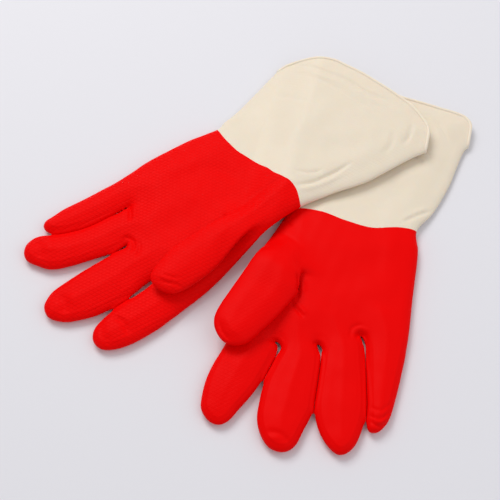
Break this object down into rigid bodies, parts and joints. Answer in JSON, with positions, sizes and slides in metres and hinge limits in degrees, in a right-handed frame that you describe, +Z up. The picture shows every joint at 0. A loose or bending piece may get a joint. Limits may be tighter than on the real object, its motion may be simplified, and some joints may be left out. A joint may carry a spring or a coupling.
{
  "type": "pair of rubber gloves",
  "caption": "Pair of household rubber gloves, red hands and flared cream cuffs with rolled beads, lying palm up with one cuff resting on the other.",
  "frame": {"origin": "centre of the pair's footprint, on the surface the gloves lie on", "axes": "+Z up out of the table, +X along the longest side of the pair's footprint towards the cuffs, +Y away from the right glove's fingertips"},
  "size_m": [0.3329, 0.3218, 0.0255],
  "materials": {
    "red_coat": "satin, fine raised diamond grip on the palm side",
    "cream_latex": "satin, faint raised diamond pattern",
    "cotton_flock": "short soft flock"
  },
  "bodies": {
    "right_cuff": {"right_cuff": "cream_latex", "right_cuff_bead": "cream_latex"},
    "right_hand": {"right_hand": "red_coat", "right_hand_liner": "cotton_flock"},
    "right_thumb": {"right_thumb": "red_coat", "right_thumb_liner": "cotton_flock"},
    "right_index": {"right_index_finger": "red_coat", "right_index_liner": "cotton_flock"},
    "right_middle": {"right_middle_finger": "red_coat", "right_middle_liner": "cotton_flock"},
    "right_ring": {"right_ring_finger": "red_coat", "right_ring_liner": "cotton_flock"},
    "right_little": {"right_little_finger": "red_coat", "right_little_liner": "cotton_flock"},
    "left_cuff": {"left_cuff": "cream_latex", "left_cuff_bead": "cream_latex"},
    "left_hand": {"left_hand": "red_coat", "left_hand_liner": "cotton_flock"},
    "left_thumb": {"left_thumb": "red_coat", "left_thumb_liner": "cotton_flock"},
    "left_index": {"left_index_finger": "red_coat", "left_index_liner": "cotton_flock"},
    "left_middle": {"left_middle_finger": "red_coat", "left_middle_liner": "cotton_flock"},
    "left_ring": {"left_ring_finger": "red_coat", "left_ring_liner": "cotton_flock"},
    "left_little": {"left_little_finger": "red_coat", "left_little_liner": "cotton_flock"}
  },
  "joints": [
    {"name": "right_wrist_bend", "type": "hinge", "parent": "right_cuff", "child": "right_hand", "pos_m": [0.07549, 0.01751, 0.01], "axis": [-0.984, 0.178, 0], "range_deg": [0, 75], "stiffness_Nm_per_rad": 0.35},
    {"name": "left_glove_lift", "type": "slide", "parent": "right_cuff", "child": "left_hand", "axis": [0, 0, 1], "range_m": [0, 0.2]},
    {"name": "left_cuff_fold", "type": "hinge", "parent": "left_hand", "child": "left_cuff", "pos_m": [0.00483, 0.06221, 0.0157], "axis": [0.6652, -0.7368, 0.1214], "range_deg": [0, 90], "stiffness_Nm_per_rad": 0.35},
    {"name": "right_thumb_lift", "type": "hinge", "parent": "right_hand", "child": "right_thumb", "pos_m": [0.01301, -0.03295, 0.0235], "axis": [-0.8572, 0.515, 0], "range_deg": [0, 80], "stiffness_Nm_per_rad": 0.06},
    {"name": "right_index_curl", "type": "hinge", "parent": "right_hand", "child": "right_index", "pos_m": [-0.01103, -0.10121, 0.012], "axis": [-0.9511, 0.309, 0], "range_deg": [0, 90], "stiffness_Nm_per_rad": 0.06},
    {"name": "right_middle_curl", "type": "hinge", "parent": "right_hand", "child": "right_middle", "pos_m": [0.02935, -0.09448, 0.012], "axis": [-0.9925, 0.1219, 0], "range_deg": [0, 90], "stiffness_Nm_per_rad": 0.06},
    {"name": "right_ring_curl", "type": "hinge", "parent": "right_hand", "child": "right_ring", "pos_m": [0.06203, -0.09448, 0.012], "axis": [-0.9976, 0.0698, 0], "range_deg": [0, 90], "stiffness_Nm_per_rad": 0.06},
    {"name": "right_little_curl", "type": "hinge", "parent": "right_hand", "child": "right_little", "pos_m": [0.09135, -0.09063, 0.012], "axis": [-0.9877, 0.1564, 0], "range_deg": [0, 90], "stiffness_Nm_per_rad": 0.06},
    {"name": "left_thumb_lift", "type": "hinge", "parent": "left_hand", "child": "left_thumb", "pos_m": [-0.02256, -0.00411, 0.0255], "axis": [-0.7547, 0.6561, 0], "range_deg": [0, 80], "stiffness_Nm_per_rad": 0.06},
    {"name": "left_index_curl", "type": "hinge", "parent": "left_hand", "child": "left_index", "pos_m": [-0.07447, -0.0541, 0.012], "axis": [-0.5592, 0.829, 0], "range_deg": [0, 90], "stiffness_Nm_per_rad": 0.06},
    {"name": "left_middle_curl", "type": "hinge", "parent": "left_hand", "child": "left_middle", "pos_m": [-0.09466, -0.02719, 0.012], "axis": [-0.4695, 0.8829, 0], "range_deg": [0, 90], "stiffness_Nm_per_rad": 0.06},
    {"name": "left_ring_curl", "type": "hinge", "parent": "left_hand", "child": "left_ring", "pos_m": [-0.10427, 0.00069, 0.012], "axis": [-0.1736, 0.9848, 0], "range_deg": [0, 90], "stiffness_Nm_per_rad": 0.06},
    {"name": "left_little_curl", "type": "hinge", "parent": "left_hand", "child": "left_little", "pos_m": [-0.11004, 0.03338, 0.012], "axis": [-0.1736, 0.9848, 0], "range_deg": [0, 90], "stiffness_Nm_per_rad": 0.06}
  ],
  "couplings": [
    {"joint": "left_little_curl", "follows": "left_ring_curl", "ratio": 1}
  ]
}
